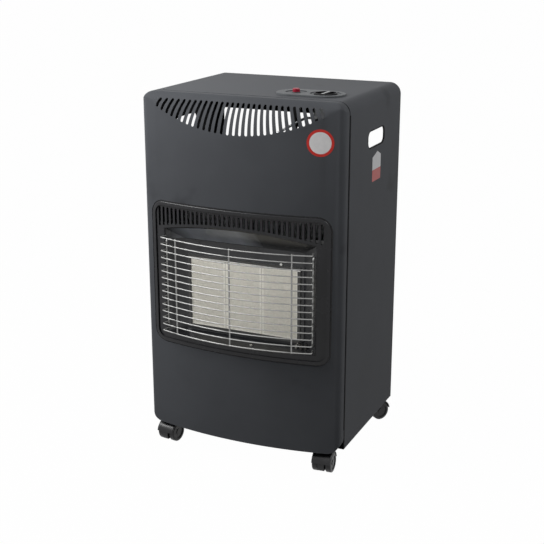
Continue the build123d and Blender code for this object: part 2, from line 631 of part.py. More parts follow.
def guard_wire():
    """One bowed wire with both ends bent back, lying at height zero."""
    end_y = GUARD_FRONT_Y + GUARD_BOW
    bow = ThreePointArc((-GUARD_HALF, end_y), (0, GUARD_FRONT_Y), (GUARD_HALF, end_y))
    legs = [Line((side * GUARD_HALF, end_y), (side * GUARD_HOOK_X, GUARD_HOOK_Y)) for side in (-1, 1)]
    path = Wire([legs[0], bow, legs[1]])
    corners = [v for v in path.vertices() if abs(v.Y - end_y) < 0.01]
    path = path.fillet_2d(4, corners)
    return sweep(Plane(origin=path @ 0, z_dir=path % 0) * Circle(WIRE_R), path=path)


def guard():
    radius = (GUARD_HALF**2 + GUARD_BOW**2) / (2 * GUARD_BOW)
    centre_y = GUARD_FRONT_Y + radius
    bar = guard_wire()
    wires = [Pos(0, 0, GUARD_Z[0] + index * guard_pitch()) * bar for index in range(GUARD_WIRES)]
    for x in (-GUARD_STAY_X, 0, GUARD_STAY_X):
        y = centre_y - sqrt(radius**2 - x**2) + WIRE_R + STAY_R - 0.6
        wires.append(rod(STAY_R, (x, y, GUARD_Z[0] - 2), (x, y, GUARD_Z[1] + 2)))
    low, high = guard_hook_heights()
    for side in (-1, 1):
        near = (side * GUARD_HOOK_X, GUARD_HOOK_Y)
        far = (side * GUARD_HOOK_X, GUARD_HOOK_END_Y)
        wires.append(pipe([(*far, low), (*near, low), (*near, high), (*far, high)], STAY_R, 4))
    return wires[0].fuse(*wires[1:])


# ---- Controls -----------------------------------------------------------------------------------------
def control_bezel():
    bezel = racetrack(BEZEL_R, HEIGHT, HEIGHT + BEZEL_H)
    top_edges = bezel.edges().group_by(Axis.Z)[-1]
    bezel = fillet(top_edges, 1.5)
    bezel += racetrack(BEZEL_R - 5.5, HEIGHT - 6, HEIGHT) - racetrack(BEZEL_R - 7, HEIGHT - 7, HEIGHT + 1)
    bezel -= rod(29.5, (KNOB_X, CONTROL_Y, HEIGHT + BEZEL_H - 1.4), (KNOB_X, CONTROL_Y, HEIGHT + 9))
    bezel -= rod(20.5, (BUTTON_X, CONTROL_Y, HEIGHT + BEZEL_H - 1.4), (BUTTON_X, CONTROL_Y, HEIGHT + 9))
    bezel -= rod(KNOB_R + 0.7, (KNOB_X, CONTROL_Y, HEIGHT - 9), (KNOB_X, CONTROL_Y, HEIGHT + 9))
    bezel += ring(KNOB_R + 2, KNOB_R + 0.7, KNOB_X, CONTROL_Y, KNOB_FOOT_Z + 1, HEIGHT + 0.5)
    bezel += ring(BUTTON_R + 2.2, BUTTON_R, BUTTON_X, CONTROL_Y, HEIGHT - 12, HEIGHT + BEZEL_H)
    bezel -= rod(BUTTON_R + 0.3, (BUTTON_X, CONTROL_Y, HEIGHT - 13), (BUTTON_X, CONTROL_Y, HEIGHT + 9))
    return bezel


def spindle_section(radius):
    flat = radius - 0.7
    return Circle(radius) - Pos(0, flat + 5) * Rectangle(20, 10)


def valve_spindle():
    foot = rod(SPINDLE_R, (KNOB_X, CONTROL_Y, 700), (KNOB_X, CONTROL_Y, 722))
    return foot + Pos(KNOB_X, CONTROL_Y, 722) * extrude(spindle_section(SPINDLE_R), 9)


def control_knob():
    top = KNOB_TOP_Z
    knob = rod(KNOB_R, (KNOB_X, CONTROL_Y, KNOB_FOOT_Z), (KNOB_X, CONTROL_Y, top))
    knob = fillet(knob.edges().group_by(Axis.Z)[-1], 1.0)
    pocket = rod(KNOB_R - 2.2, (KNOB_X, CONTROL_Y, top - 8), (KNOB_X, CONTROL_Y, top + 5))
    pocket -= block(KNOB_X - 4.2, KNOB_X + 4.2, CONTROL_Y - 30, CONTROL_Y + 30, top - 9, top + 9)
    knob -= pocket
    knob -= rod(SPINDLE_R + RUNNING, (KNOB_X, CONTROL_Y, KNOB_FOOT_Z - 1), (KNOB_X, CONTROL_Y, 727))
    knob -= Pos(KNOB_X, CONTROL_Y, 726) * extrude(spindle_section(SPINDLE_R + RUNNING), 10)
    return knob


def igniter_button():
    cap = rod(BUTTON_R, (BUTTON_X, CONTROL_Y, 724), (BUTTON_X, CONTROL_Y, BUTTON_TOP_Z))
    cap = fillet(cap.edges().group_by(Axis.Z)[-1], 2.0)
    return cap + rod(2.8, (BUTTON_X, CONTROL_Y, 712.5), (BUTTON_X, CONTROL_Y, 724))


def piezo_igniter():
    body = rod(8, (BUTTON_X, CONTROL_Y, 672), (BUTTON_X, CONTROL_Y, BRACKET_Z - 0.1))
    body += rod(6, (BUTTON_X, CONTROL_Y, BRACKET_Z - 1), (BUTTON_X, CONTROL_Y, 718))
    body += rod(3, (BUTTON_X, CONTROL_Y, 664), (BUTTON_X, CONTROL_Y, 672))
    body -= rod(2.8 + RUNNING, (BUTTON_X, CONTROL_Y, 708), (BUTTON_X, CONTROL_Y, 720))
    return body


def valve_bracket():
    y0, y1 = CONTROL_Y - 18, CONTROL_Y + 18
    bracket = block(38, 178, y0, y1, BRACKET_Z, BRACKET_Z + 1.5)
    for x0, x1, f0, f1 in ((38, 39.5, 26, 39.5), (176.5, 178, 176.5, 185)):
        bracket += block(x0, x1, y0, y1, BRACKET_Z, HEIGHT - 1.1)
        bracket += block(f0, f1, y0, y1, HEIGHT - 2.6, HEIGHT - 1.1)
    bracket -= rod(6.1, (KNOB_X, CONTROL_Y, 700), (KNOB_X, CONTROL_Y, 730))
    bracket -= rod(6.1, (BUTTON_X, CONTROL_Y, 700), (BUTTON_X, CONTROL_Y, 730))
    return bracket


def gas_valve():
    """Valve block with its head below, the inlet behind, one outlet on the left and two in front."""
    body = block(KNOB_X - 19, KNOB_X + 17, CONTROL_Y - 15, CONTROL_Y + 17, 682, BRACKET_Z - 0.1)
    body = fillet(body.edges().filter_by(Axis.Z), 5)
    body += rod(11, (KNOB_X, CONTROL_Y, 668), (KNOB_X, CONTROL_Y, 682.5))
    body += rod(6, (KNOB_X, CONTROL_Y, 712), (KNOB_X, CONTROL_Y, 719))
    body += rod(6.5, (KNOB_X, CONTROL_Y + 16, 692), (KNOB_X, CONTROL_Y + 27, 692))
    body += rod(4.4, (KNOB_X - 18, LEFT_OUTLET_Y, OUTLET_Z), (KNOB_X - 24, LEFT_OUTLET_Y, OUTLET_Z))
    for x in FRONT_OUTLET_X:
        body += rod(4.4, (x, CONTROL_Y - 14, OUTLET_Z), (x, CONTROL_Y - 21, OUTLET_Z))
    return body - rod(SPINDLE_R + RUNNING, (KNOB_X, CONTROL_Y, 699), (KNOB_X, CONTROL_Y, 725))


def nut(x, y, z0, z1, bore):
    return hexagon(10, x, y, z0, z1) - rod(bore, (x, y, z0 - 1), (x, y, z1 + 1))


def hose_nozzle():
    """Elbow from the valve's inlet down to a plain spigot that points to the rear."""
    y0 = CONTROL_Y + 27.1
    hexa = extrude(RegularPolygon(9, 6), 9)
    hexa = Plane(origin=(KNOB_X, y0, 692), x_dir=(1, 0, 0), z_dir=(0, 1, 0)) * hexa
    route = [(KNOB_X, y0, 692), (KNOB_X, y0 + 24, 692), (KNOB_X, y0 + 24, HOSE_Z), (KNOB_X, y0 + 66, HOSE_Z)]
    outside = pipe(route, 4.5, 11)
    return hexa + outside - pipe(route, 2.2, 11)


def middle_burner_pipe():
    x0 = KNOB_X - 24.1
    return pipe([(x0, LEFT_OUTLET_Y, OUTLET_Z), (x0 - 12, LEFT_OUTLET_Y, OUTLET_Z), (88, TUBE_Y, 684),
                 (34, TUBE_Y, 652), (22, TUBE_Y, 612), (22, TUBE_Y, 240), (6.7, TUBE_Y, 240)], 2.4, 7)


def side_burner_pipe():
    x, y0 = FRONT_OUTLET_X[0], CONTROL_Y - 21.1
    return pipe([(x, y0, OUTLET_Z), (x, y0 - 13, OUTLET_Z), (x, y0 - 13, 630), (111, TUBE_Y, 590),
                 (111, TUBE_Y, RAIL_Z), (92.1, TUBE_Y, RAIL_Z)], 2.4, 9)


def pilot_pipe():
    x, y, _ = pilot_places()["burner"]
    x0, y0 = FRONT_OUTLET_X[1], CONTROL_Y - 21.1
    return pipe([(x0, y0, OUTLET_Z), (x0, y0 - 13, OUTLET_Z), (x0, y0 - 13, 620), (140, -104, 590),
                 (140, -104, 236), (134, -126, 214), (x, y, 218), (x, y, 239.9)], 1.5, 8)


# ---- Casters ------------------------------------------------------------------------------------------
def caster_socket(x, y):
    body = rod(SOCKET_R, (x, y, BASE_Z - 1), (x, y, BASE_Z + 20))
    body += rod(11, (x, y, BASE_Z - 2), (x, y, BASE_Z - 0.1))
    return body - rod(STEM_R + RUNNING, (x, y, BASE_Z - 3), (x, y, BASE_Z + 18))


def caster_hood(axle_y):
    """Web between the wheels, shell over them, boss and stem. The stem is at the origin."""
    width = 2 * (WEB_HALF + WHEEL_GAP + WHEEL_W)
    shell = rod(HOOD_R, (-width / 2, axle_y, WHEEL_R), (width / 2, axle_y, WHEEL_R))
    shell = fillet(shell.edges().filter_by(GeomType.CIRCLE), 2.2)
    shell -= rod(HOOD_R - HOOD_SHEET, (-width, axle_y, WHEEL_R), (width, axle_y, WHEEL_R))
    shell = shell & block(-40, 40, axle_y - 40, axle_y + 40, WHEEL_R + 4, WHEEL_R + 40)
    web = rod(HOOD_R - 1, (-WEB_HALF, axle_y, WHEEL_R), (WEB_HALF, axle_y, WHEEL_R))
    web -= block(-10, 10, axle_y - 40, axle_y + 40, -10, 8.5)
    boss = rod(9.5, (0, 0, WHEEL_R + 18), (0, 0, BASE_Z - 2.4))
    neck = block(-WEB_HALF, WEB_HALF, *sorted((0, axle_y)), WHEEL_R, WHEEL_R + 20)
    wheels = rod(HOOD_R - HOOD_SHEET, (-width, axle_y, WHEEL_R), (-WEB_HALF, axle_y, WHEEL_R))
    wheels += rod(HOOD_R - HOOD_SHEET, (WEB_HALF, axle_y, WHEEL_R), (width, axle_y, WHEEL_R))
    hood = shell + web + (boss - wheels) + neck + rod(STEM_R, (0, 0, WHEEL_R + 20), (0, 0, BASE_Z + 17))
    return hood - rod(AXLE_R + 0.01, (-10, axle_y, WHEEL_R), (10, axle_y, WHEEL_R))


def caster_axle(axle_y):
    reach = WEB_HALF + WHEEL_GAP + WHEEL_W - 4
    return rod(AXLE_R, (-reach, axle_y, WHEEL_R), (reach, axle_y, WHEEL_R))


def caster_wheel(axle_y, side):
    near = side * (WEB_HALF + WHEEL_GAP)
    far = near + side * WHEEL_W
    wheel = rod(WHEEL_R, (near, axle_y, WHEEL_R), (far, axle_y, WHEEL_R))
    wheel = fillet(wheel.edges().filter_by(GeomType.CIRCLE), 2.5)
    wheel -= rod(14, (far - side * 1.5, axle_y, WHEEL_R), (far + side, axle_y, WHEEL_R))
    wheel += rod(6, (far - side * 3, axle_y, WHEEL_R), (far - side * 0.4, axle_y, WHEEL_R))
    return wheel - rod(AXLE_R + RUNNING, (near - side, axle_y, WHEEL_R), (far - side * 3.5, axle_y, WHEEL_R))


# ---- Assembly -----------------------------------------------------------------------------------------
def all_parts():
    rail_points = lambda p: ((p[0], REAR_Y + 2.6, p[1]), (p[0], REAR_Y + 0.1, p[1]), (p[0], REAR_Y - 6, p[1]))
    base_points = lambda p: ((p[0], p[1], UNDERSIDE - 2.4), (p[0], p[1], UNDERSIDE - 0.1), (p[0], p[1], 58))
    parts = {
        "cabinet_shell": cabinet_shell(),
        "front_panel": front_panel(),
        "base_plate": base_plate(),
        "rear_rail": rear_rail(),
        "rear_cover": rear_cover(),
        "heat_shield": heat_shield(),
        "rail_screws": screws(rail_screw_places(), rail_points),
        "base_screws": screws(base_screw_places(), base_points),
        "burner_surround": burner_surround(),
        "reflector": reflector(),
        "burner_screws": screws(burner_screw_places(), burner_screw_points, SMALL_HEAD_R),
        "burner_box": burner_box(),
        "plaque_left": plaque(-1),
        "plaque_middle": plaque(0),
        "plaque_right": plaque(1),
        "plaque_gasket": plaque_gasket(),
        "plaque_frame": plaque_frame(),
        "injectors": Compound(children=[injector(x) for x in TUBE_X]),
        "injector_bracket": injector_bracket(),
        "feed_rail": feed_rail(),
        "pilot_burner": pilot_burner(),
        "ignition_electrode": ignition_electrode(),
        "thermocouple": thermocouple(),
        "ignition_lead": ignition_lead(),
        "guard": guard(),
        "control_bezel": control_bezel(),
        "valve_spindle": valve_spindle(),
        "control_knob": control_knob(),
        "igniter_button": igniter_button(),
        "piezo_igniter": piezo_igniter(),
        "igniter_nut": nut(BUTTON_X, CONTROL_Y, BRACKET_Z + 1.6, 717, 6.1),
        "valve_bracket": valve_bracket(),
        "gas_valve": gas_valve(),
        "valve_nut": nut(KNOB_X, CONTROL_Y, BRACKET_Z + 1.6, 718, 6.1),
        "hose_nozzle": hose_nozzle(),
        "side_burner_pipe": side_burner_pipe(),
        "middle_burner_pipe": middle_burner_pipe(),
        "pilot_pipe": pilot_pipe(),
    }
    for name, x in zip(("left", "middle", "right"), TUBE_X):
        parts[f"mixing_tube_{name}"] = mixing_tube(x)
    sockets = [caster_socket(x, y) for x, y, _, _ in caster_places().values()]
    parts["caster_sockets"] = Compound(children=sockets)
    for name, (x, y, direction, turn) in caster_places().items():
        axle_y = direction * CASTER_TRAIL
        outer = 1 if x > 0 else -1
        turned = Pos(x, y, 0) * Rot(0, 0, turn)
        parts[f"{name}_caster_hood"] = turned * caster_hood(axle_y)
        parts[f"{name}_caster_axle"] = turned * caster_axle(axle_y)
        parts[f"{name}_wheel_inner"] = turned * caster_wheel(axle_y, -outer)
        parts[f"{name}_wheel_outer"] = turned * caster_wheel(axle_y, outer)
    return parts


os.makedirs("parts", exist_ok=True)
for node, shape in all_parts().items():
    export_step(shape, f"parts/{node}.step")
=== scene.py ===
# %% [markdown]
# # A cabinet gas heater, dressed for its portrait
#
# The heater's steelwork, burner, guard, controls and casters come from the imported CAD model. This lesson
# gives each of them a finish, adds the thin printed and stuck-on pieces that CAD leaves to Blender, and
# sets up a plain studio. Everything is in metres, in the CAD model's own frame: the floor is z = 0, the
# front faces -Y.

# %% Load the heater
import bpy
import math
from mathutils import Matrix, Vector


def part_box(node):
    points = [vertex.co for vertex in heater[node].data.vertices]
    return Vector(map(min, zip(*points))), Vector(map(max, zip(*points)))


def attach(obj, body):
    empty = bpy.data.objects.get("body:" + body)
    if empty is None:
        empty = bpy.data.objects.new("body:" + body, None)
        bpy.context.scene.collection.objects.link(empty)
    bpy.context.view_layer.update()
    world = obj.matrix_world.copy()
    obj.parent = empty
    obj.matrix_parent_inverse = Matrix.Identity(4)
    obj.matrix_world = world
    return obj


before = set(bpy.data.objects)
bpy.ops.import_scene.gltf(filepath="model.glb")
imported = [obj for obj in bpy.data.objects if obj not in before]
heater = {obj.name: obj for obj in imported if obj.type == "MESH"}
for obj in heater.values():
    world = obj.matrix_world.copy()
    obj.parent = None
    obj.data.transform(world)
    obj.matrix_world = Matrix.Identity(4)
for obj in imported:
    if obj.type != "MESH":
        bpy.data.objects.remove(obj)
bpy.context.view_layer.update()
bpy.ops.object.select_all(action="DESELECT")

# %% [markdown]
# ## Smooth shading for pressed sheet
#
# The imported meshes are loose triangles, so a rolled panel would show as flat strips. The usual cure is to
# merge the vertices and shade smooth up to an angle. The meshes themselves must stay as they are, so the
# same cure is written as a small node group and hung on each node as a modifier: it welds a passing copy,
# smooths it, and keeps every edge sharper than a bend line crisp.

# %% Weld-and-smooth modifier
CRISP_ANGLE = math.radians(28)
WELD_DISTANCE = 0.00002


def pressed_sheet_shading():
    tree = bpy.data.node_groups.new("pressed_sheet_shading", "GeometryNodeTree")
    tree.interface.new_socket("Geometry", in_out="INPUT", socket_type="NodeSocketGeometry")
    tree.interface.new_socket("Geometry", in_out="OUTPUT", socket_type="NodeSocketGeometry")
    start = tree.nodes.new("NodeGroupInput")
    weld = tree.nodes.new("GeometryNodeMergeByDistance")
    weld.inputs["Distance"].default_value = WELD_DISTANCE
    faces = tree.nodes.new("GeometryNodeSetShadeSmooth")
    faces.domain = "FACE"
    angle = tree.nodes.new("GeometryNodeInputMeshEdgeAngle")
    gentle = tree.nodes.new("FunctionNodeCompare")
    gentle.operation = "LESS_THAN"
    gentle.inputs["B"].default_value = CRISP_ANGLE
    edges = tree.nodes.new("GeometryNodeSetShadeSmooth")
    edges.domain = "EDGE"
    end = tree.nodes.new("NodeGroupOutput")
    link = tree.links.new
    link(start.outputs[0], weld.inputs["Geometry"])
    link(weld.outputs[0], faces.inputs["Geometry"])
    link(faces.outputs[0], edges.inputs["Geometry"])
    link(angle.outputs["Unsigned Angle"], gentle.inputs["A"])
    link(gentle.outputs["Result"], edges.inputs["Shade Smooth"])
    link(edges.outputs[0], end.inputs[0])
    return tree


shading = pressed_sheet_shading()
for node in heater.values():
    node.modifiers.new("pressed sheet shading", "NODES").node_group = shading
print("smoothed nodes:", len(heater))

# %% [markdown]
# ## How a finish is built
#
# Paint, plastic and plated wire all differ in three ways: colour, how sharply they mirror the room, and how
# their surface ripples. Each finish below starts from one shader and gets those three from noise that is
# read in the heater's own space, so the pattern stays put when a part moves. An image texture could do the
# same, but it would need a picture; noise is sharp at any distance.

# %% A finish and its three controls


def new_finish(name, colour, rough, metal=0.0, gloss=0.5):
    """A material with one shader. Returns the material, the shader and the place on the heater."""
    finish = bpy.data.materials.new(name)
    finish.use_nodes = True
    shader = finish.node_tree.nodes["Principled BSDF"]
    shader.inputs["Base Color"].default_value = (*colour, 1)
    shader.inputs["Roughness"].default_value = rough
    shader.inputs["Metallic"].default_value = metal
    shader.inputs["Specular IOR Level"].default_value = gloss
    place = finish.node_tree.nodes.new("ShaderNodeTexCoord").outputs["Object"]
    return finish, shader, place


def cloud(finish, place, size, detail=3.0):
    """Soft noise whose blobs are about as large as size, in metres."""
    noise = finish.node_tree.nodes.new("ShaderNodeTexNoise")
    noise.inputs["Scale"].default_value = 1 / size
    noise.inputs["Detail"].default_value = detail
    finish.node_tree.links.new(place, noise.inputs["Vector"])
    return noise.outputs["Fac"]


def blend_colours(finish, shader, mask, first, second, low=0.35, high=0.65):
    """Colour that runs from first to second as the mask goes from low to high."""
    ramp = finish.node_tree.nodes.new("ShaderNodeValToRGB")
    ramp.color_ramp.elements[0].position = low
    ramp.color_ramp.elements[0].color = (*first, 1)
    ramp.color_ramp.elements[1].position = high
    ramp.color_ramp.elements[1].color = (*second, 1)
    finish.node_tree.links.new(mask, ramp.inputs["Fac"])
    finish.node_tree.links.new(ramp.outputs["Color"], shader.inputs["Base Color"])
    return ramp.outputs["Color"]


def vary_roughness(finish, shader, mask, low, high):
    """Roughness that runs from low to high with the mask."""
    span = finish.node_tree.nodes.new("ShaderNodeMapRange")
    span.inputs["To Min"].default_value = low
    span.inputs["To Max"].default_value = high
    finish.node_tree.links.new(mask, span.inputs["Value"])
    finish.node_tree.links.new(span.outputs["Result"], shader.inputs["Roughness"])


def ripple(finish, shader, mask, height, strength=1.0):
    """Raises the surface by up to height, in metres, where the mask is bright."""
    bump = finish.node_tree.nodes.new("ShaderNodeBump")
    bump.inputs["Distance"].default_value = height
    bump.inputs["Strength"].default_value = strength
    finish.node_tree.links.new(mask, bump.inputs["Height"])
    finish.node_tree.links.new(bump.outputs["Normal"], shader.inputs["Normal"])


def dress(finish, *names):
    """Gives the named nodes one finish."""
    for name in names:
        heater[name].data.materials.clear()
        heater[name].data.materials.append(finish)


print("finish controls: colour, roughness, ripple")

# %% [markdown]
# ## Masks worked out from a place
#
# Some finishes change at a known place: along a seam, round a hole, at a plaque's margin. A painted picture
# could say where, but it would have to be unwrapped onto the sheet. Here a coordinate is read from the
# heater's space and a few sums turn it into a mask, so the change sits exactly where the CAD model has the
# edge.

# %% Sums on coordinates


def combine(finish, how, first, second=0):
    """Arithmetic between two outputs, or an output and a number."""
    maths = finish.node_tree.nodes.new("ShaderNodeMath")
    maths.operation = how
    for socket, value in zip(maths.inputs, (first, second)):
        if isinstance(value, (int, float)):
            socket.default_value = value
        else:
            finish.node_tree.links.new(value, socket)
    return maths.outputs[0]


def read_axis(finish, place, axis):
    """One of the three coordinates, in metres."""
    split = finish.node_tree.nodes.new("ShaderNodeSeparateXYZ")
    finish.node_tree.links.new(place, split.inputs[0])
    return split.outputs[axis]


def inside(finish, value, low, high):
    """1 where a coordinate lies between low and high, 0 elsewhere."""
    above = combine(finish, "GREATER_THAN", value, low)
    return combine(finish, "MULTIPLY", above, combine(finish, "LESS_THAN", value, high))


def away_from(finish, value, middle, half):
    """How far a coordinate lies outside a band, zero inside it."""
    off = combine(finish, "ABSOLUTE", combine(finish, "SUBTRACT", value, middle))
    return combine(finish, "MAXIMUM", combine(finish, "SUBTRACT", off, half))


print("masks: inside a band, away from a band")

# %% [markdown]
# ## Cabinet enamel
#
# The cabinet is steel with a stoved anthracite enamel: dark blue-grey, satin, with a very fine orange-peel
# that breaks up long reflections. A mirror-like black would show hard lamp shapes, and a chalky grey would
# lose the soft light-to-dark roll across the bowed front, so the roughness sits between the two and drifts
# a little. The gloss is kept very low, because the white room would wash the dark colour out at flat
# angles. Two things that are only a few millimetres wide get their shade from the paint as well: the seam
# between the front and each side, and the folded rim round each hand hole, which looks almost black.

# %% Cabinet enamel
ANTHRACITE = (0.062, 0.065, 0.071)
# SHADE is the colour of the painted shade in the seam and round the hand holes; dips of the noise also darken
# towards it
SHADE = (0.004, 0.004, 0.005)
SEAM_Y, SEAM_HALF, SEAM_FADE = -0.1335, 0.0018, 0.004
SEAM_TOP = 0.71                                   # above it, the side rolls over into the top
SIDE_WALL = 0.2                                   # a point with a larger X or -X is on a side
HOLE_Y, HOLE_HALF_Y = 0.012, 0.034                # the hand hole's middle, half size less rounding
HOLE_Z, HOLE_HALF_Z = 0.6472, 0.0038
RIM_REACH, RIM_FADE = 0.0138, 0.001               # the rounding's radius with the rim added


def painted_side_shade(finish, place):
    """Mask of the painted shade: 1 in the seam behind the front and round the hand holes, 0 elsewhere. Both
    lie on the sides.
    """
    across, along, up = (read_axis(finish, place, axis) for axis in "XYZ")
    seam = combine(finish, "MULTIPLY", away_from(finish, along, SEAM_Y, SEAM_HALF), 1 / SEAM_FADE)
    seam = combine(finish, "ADD", seam, combine(finish, "GREATER_THAN", up, SEAM_TOP))
    rim_y = away_from(finish, along, HOLE_Y, HOLE_HALF_Y)
    rim_z = away_from(finish, up, HOLE_Z, HOLE_HALF_Z)
    rim = combine(finish, "SQRT", combine(finish, "ADD", combine(finish, "MULTIPLY", rim_y, rim_y),
                                          combine(finish, "MULTIPLY", rim_z, rim_z)))
    rim = combine(finish, "MULTIPLY", combine(finish, "SUBTRACT", rim, RIM_REACH), 1 / RIM_FADE)
    light = combine(finish, "MINIMUM", combine(finish, "MAXIMUM", rim), combine(finish, "MINIMUM", seam, 1))
    on_side = combine(finish, "GREATER_THAN", combine(finish, "ABSOLUTE", across), SIDE_WALL)
    return combine(finish, "MULTIPLY", on_side, combine(finish, "SUBTRACT", 1, light))


def cabinet_enamel():
    finish, shader, place = new_finish("cabinet_enamel", ANTHRACITE, 0.42, gloss=0.012)
    wide = cloud(finish, place, 0.12)
    tone = combine(finish, "MULTIPLY", wide, combine(finish, "SUBTRACT", 1, painted_side_shade(finish, place)))
    ramp = blend_colours(finish, shader, tone, SHADE, tuple(0.95 * c for c in ANTHRACITE), 0, 0.35)
    ramp.node.color_ramp.elements.new(0.65).color = (*(1.05 * c for c in ANTHRACITE), 1)
    vary_roughness(finish, shader, wide, 0.38, 0.46)
    ripple(finish, shader, cloud(finish, place, 0.0011, 1.0), 0.00002, 0.35)
    return finish


dress(cabinet_enamel(), "cabinet_shell", "front_panel", "base_plate", "rear_rail", "rear_cover")
print("cabinet enamel:", [round(c, 3) for c in ANTHRACITE])

# %% [markdown]
# ## Burner enamel
#
# The surround and the reflector stand next to the flame, so they wear a blacker and glossier stove enamel
# than the cabinet. On the real heater the sloped roof of the reflector mirrors its bright surroundings as a
# cool grey band on the left two thirds. Here it would mirror little more than the tan plaques, so the band
# is painted: it keeps to a stretch of X, fades at both ends, and covers only what stands above the roof's
# foot.

# %% Burner enamel
SURROUND_BLACK = (0.014, 0.014, 0.0155)
REFLECTOR_BLACK = (0.013, 0.0135, 0.015)
PAINTED_REFLECTION_GREY = (0.28, 0.30, 0.335)
SHEEN_X, SHEEN_HALF, SHEEN_FADE = -0.0525, 0.0525, 0.05
ROOF_FOOT = 0.4475


def surround_enamel():
    colour, rough = SURROUND_BLACK, 0.26
    finish, shader, place = new_finish("surround_enamel", colour, rough, gloss=0.24)
    wide = cloud(finish, place, 0.05)
    blend_colours(finish, shader, wide, colour, tuple(1.25 * c for c in colour))
    vary_roughness(finish, shader, wide, rough - 0.04, rough + 0.05)
    ripple(finish, shader, cloud(finish, place, 0.004, 2.0), 0.00003, 0.3)
    return finish


def reflector_enamel():
    """Stove enamel with a painted reflection: a cool grey band on the left two thirds of the roof."""
    finish, shader, place = new_finish("reflector_enamel", REFLECTOR_BLACK, 0.22, gloss=0.5)
    wide = cloud(finish, place, 0.05)
    past = away_from(finish, read_axis(finish, place, "X"), SHEEN_X, SHEEN_HALF)
    sheen = combine(finish, "SUBTRACT", 1, combine(finish, "MULTIPLY", past, 1 / SHEEN_FADE))
    on_roof = combine(finish, "GREATER_THAN", read_axis(finish, place, "Z"), ROOF_FOOT)
    sheen = combine(finish, "MULTIPLY", combine(finish, "MAXIMUM", sheen), on_roof)
    sheen = combine(finish, "MULTIPLY", sheen, combine(finish, "ADD", wide, 0.4))
    blend_colours(finish, shader, sheen, REFLECTOR_BLACK, PAINTED_REFLECTION_GREY, 0.0, 1.0)
    vary_roughness(finish, shader, wide, 0.18, 0.27)
    ripple(finish, shader, cloud(finish, place, 0.004, 2.0), 0.00003, 0.3)
    return finish


dress(surround_enamel(), "burner_surround")
dress(reflector_enamel(), "reflector")
print("burner enamel on surround and reflector")

# %% [markdown]
# ## Ceramic plaques
#
# Each plaque is a fired ceramic tile with thousands of fine flame ports in rows. Modelling every port would
# cost millions of faces, so the ports are drawn: two sine waves across the tile make a grid of dark dots
# that also dent the surface, and a soft mottle stands for the uneven firing. A plain margin without ports
# is left around each tile, as on the real thing.

# %% Ceramic plaques
PORT_PITCH = 0.0016
PLAIN_SIDE, PLAIN_END = 0.0035, 0.0045            # margins without ports, in X and in Z
FIRED_PALE, FIRED_DARK = (0.98, 0.955, 0.87), (0.66, 0.63, 0.55)


def wave(finish, value, pitch):
    """Sine of a coordinate, with the given pitch in metres."""
    return combine(finish, "SINE", combine(finish, "MULTIPLY", value, 2 * math.pi / pitch))


def plaque_ceramic(name, node):
    low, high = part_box(node)
    finish, shader, place = new_finish(name, FIRED_PALE, 0.9, gloss=0.2)
    across, up = read_axis(finish, place, "X"), read_axis(finish, place, "Z")
    grid = combine(finish, "MULTIPLY", wave(finish, across, 2 * PORT_PITCH), wave(finish, up, 2 * PORT_PITCH))
    field = combine(finish, "MULTIPLY", inside(finish, across, low.x + PLAIN_SIDE, high.x - PLAIN_SIDE),
                    inside(finish, up, low.z + PLAIN_END, high.z - PLAIN_END))
    ports = combine(finish, "MULTIPLY", combine(finish, "ABSOLUTE", grid), field)
    mottle = combine(finish, "MULTIPLY", cloud(finish, place, 0.0045, 4.0), 0.8)
    dark = combine(finish, "ADD", ports, mottle)
    blend_colours(finish, shader, dark, FIRED_PALE, FIRED_DARK, 0.25, 1.3)
    ripple(finish, shader, combine(finish, "SUBTRACT", 1.0, ports), 0.0004, 0.5)
    return finish


for plaque in ("plaque_left", "plaque_middle", "plaque_right"):
    dress(plaque_ceramic(plaque + "_ceramic", plaque), plaque)
tile_low, tile_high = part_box("plaque_left")
print("flame ports per plaque:", round((tile_high.x - tile_low.x - 2 * PLAIN_SIDE) / PORT_PITCH)
      * round((tile_high.z - tile_low.z - 2 * PLAIN_END) / PORT_PITCH))

# %% [markdown]
# ## Plated wire and bright metal
#
# The guard is nickel-plated steel wire, dulled by heat: a mirror-bright plate would pick up the white room
# and glare in front of the plaques, so its colour is a mid grey and its roughness satin. Brackets and the
# burner box are galvanised, with the flakes that zinc leaves, drawn by a cell pattern. Brass fittings and
# the die-cast valve sit inside, seen only through the slots and the open back. The frame that holds the
# plaques is dark from heat, all but the lip along their top edge.

# %% Metals
HEAT_DARK, LIP_PALE = (0.035, 0.034, 0.032), (0.85, 0.84, 0.80)
LIP_LOW, LIP_HIGH = 0.4088, 0.4106                # heights of the bright lip above the plaques


def plated_wire():
    finish, shader, place = new_finish("guard_nickel", (0.27, 0.27, 0.265), 0.48, metal=1.0)
    vary_roughness(finish, shader, cloud(finish, place, 0.02), 0.42, 0.54)
    ripple(finish, shader, cloud(finish, place, 0.0015), 0.00001, 0.3)
    return finish


def bright_metal(name, colour, rough, flake):
    """Bare or plated metal whose grains, about as large as flake, differ in shade and in polish."""
    finish, shader, place = new_finish(name, colour, rough, metal=1.0)
    cells = finish.node_tree.nodes.new("ShaderNodeTexVoronoi")
    cells.inputs["Scale"].default_value = 1 / flake
    finish.node_tree.links.new(place, cells.inputs["Vector"])
    grey = combine(finish, "ADD", cells.outputs["Color"])
    blend_colours(finish, shader, grey, tuple(0.82 * c for c in colour), colour, 0.2, 0.9)
    vary_roughness(finish, shader, grey, rough - 0.06, rough + 0.08)
    ripple(finish, shader, cloud(finish, place, 0.002), 0.00001, 0.3)
    return finish


def plaque_frame_steel():
    """Heat-darkened steel; only the lip along the plaques' top edge is bright."""
    finish, shader, place = new_finish("plaque_frame_steel", HEAT_DARK, 0.4)
    lip = inside(finish, read_axis(finish, place, "Z"), LIP_LOW, LIP_HIGH)
    worn = combine(finish, "MULTIPLY", lip, cloud(finish, place, 0.006))
    blend_colours(finish, shader, worn, HEAT_DARK, LIP_PALE, 0.1, 0.5)
    ripple(finish, shader, cloud(finish, place, 0.002), 0.00001, 0.3)
    return finish


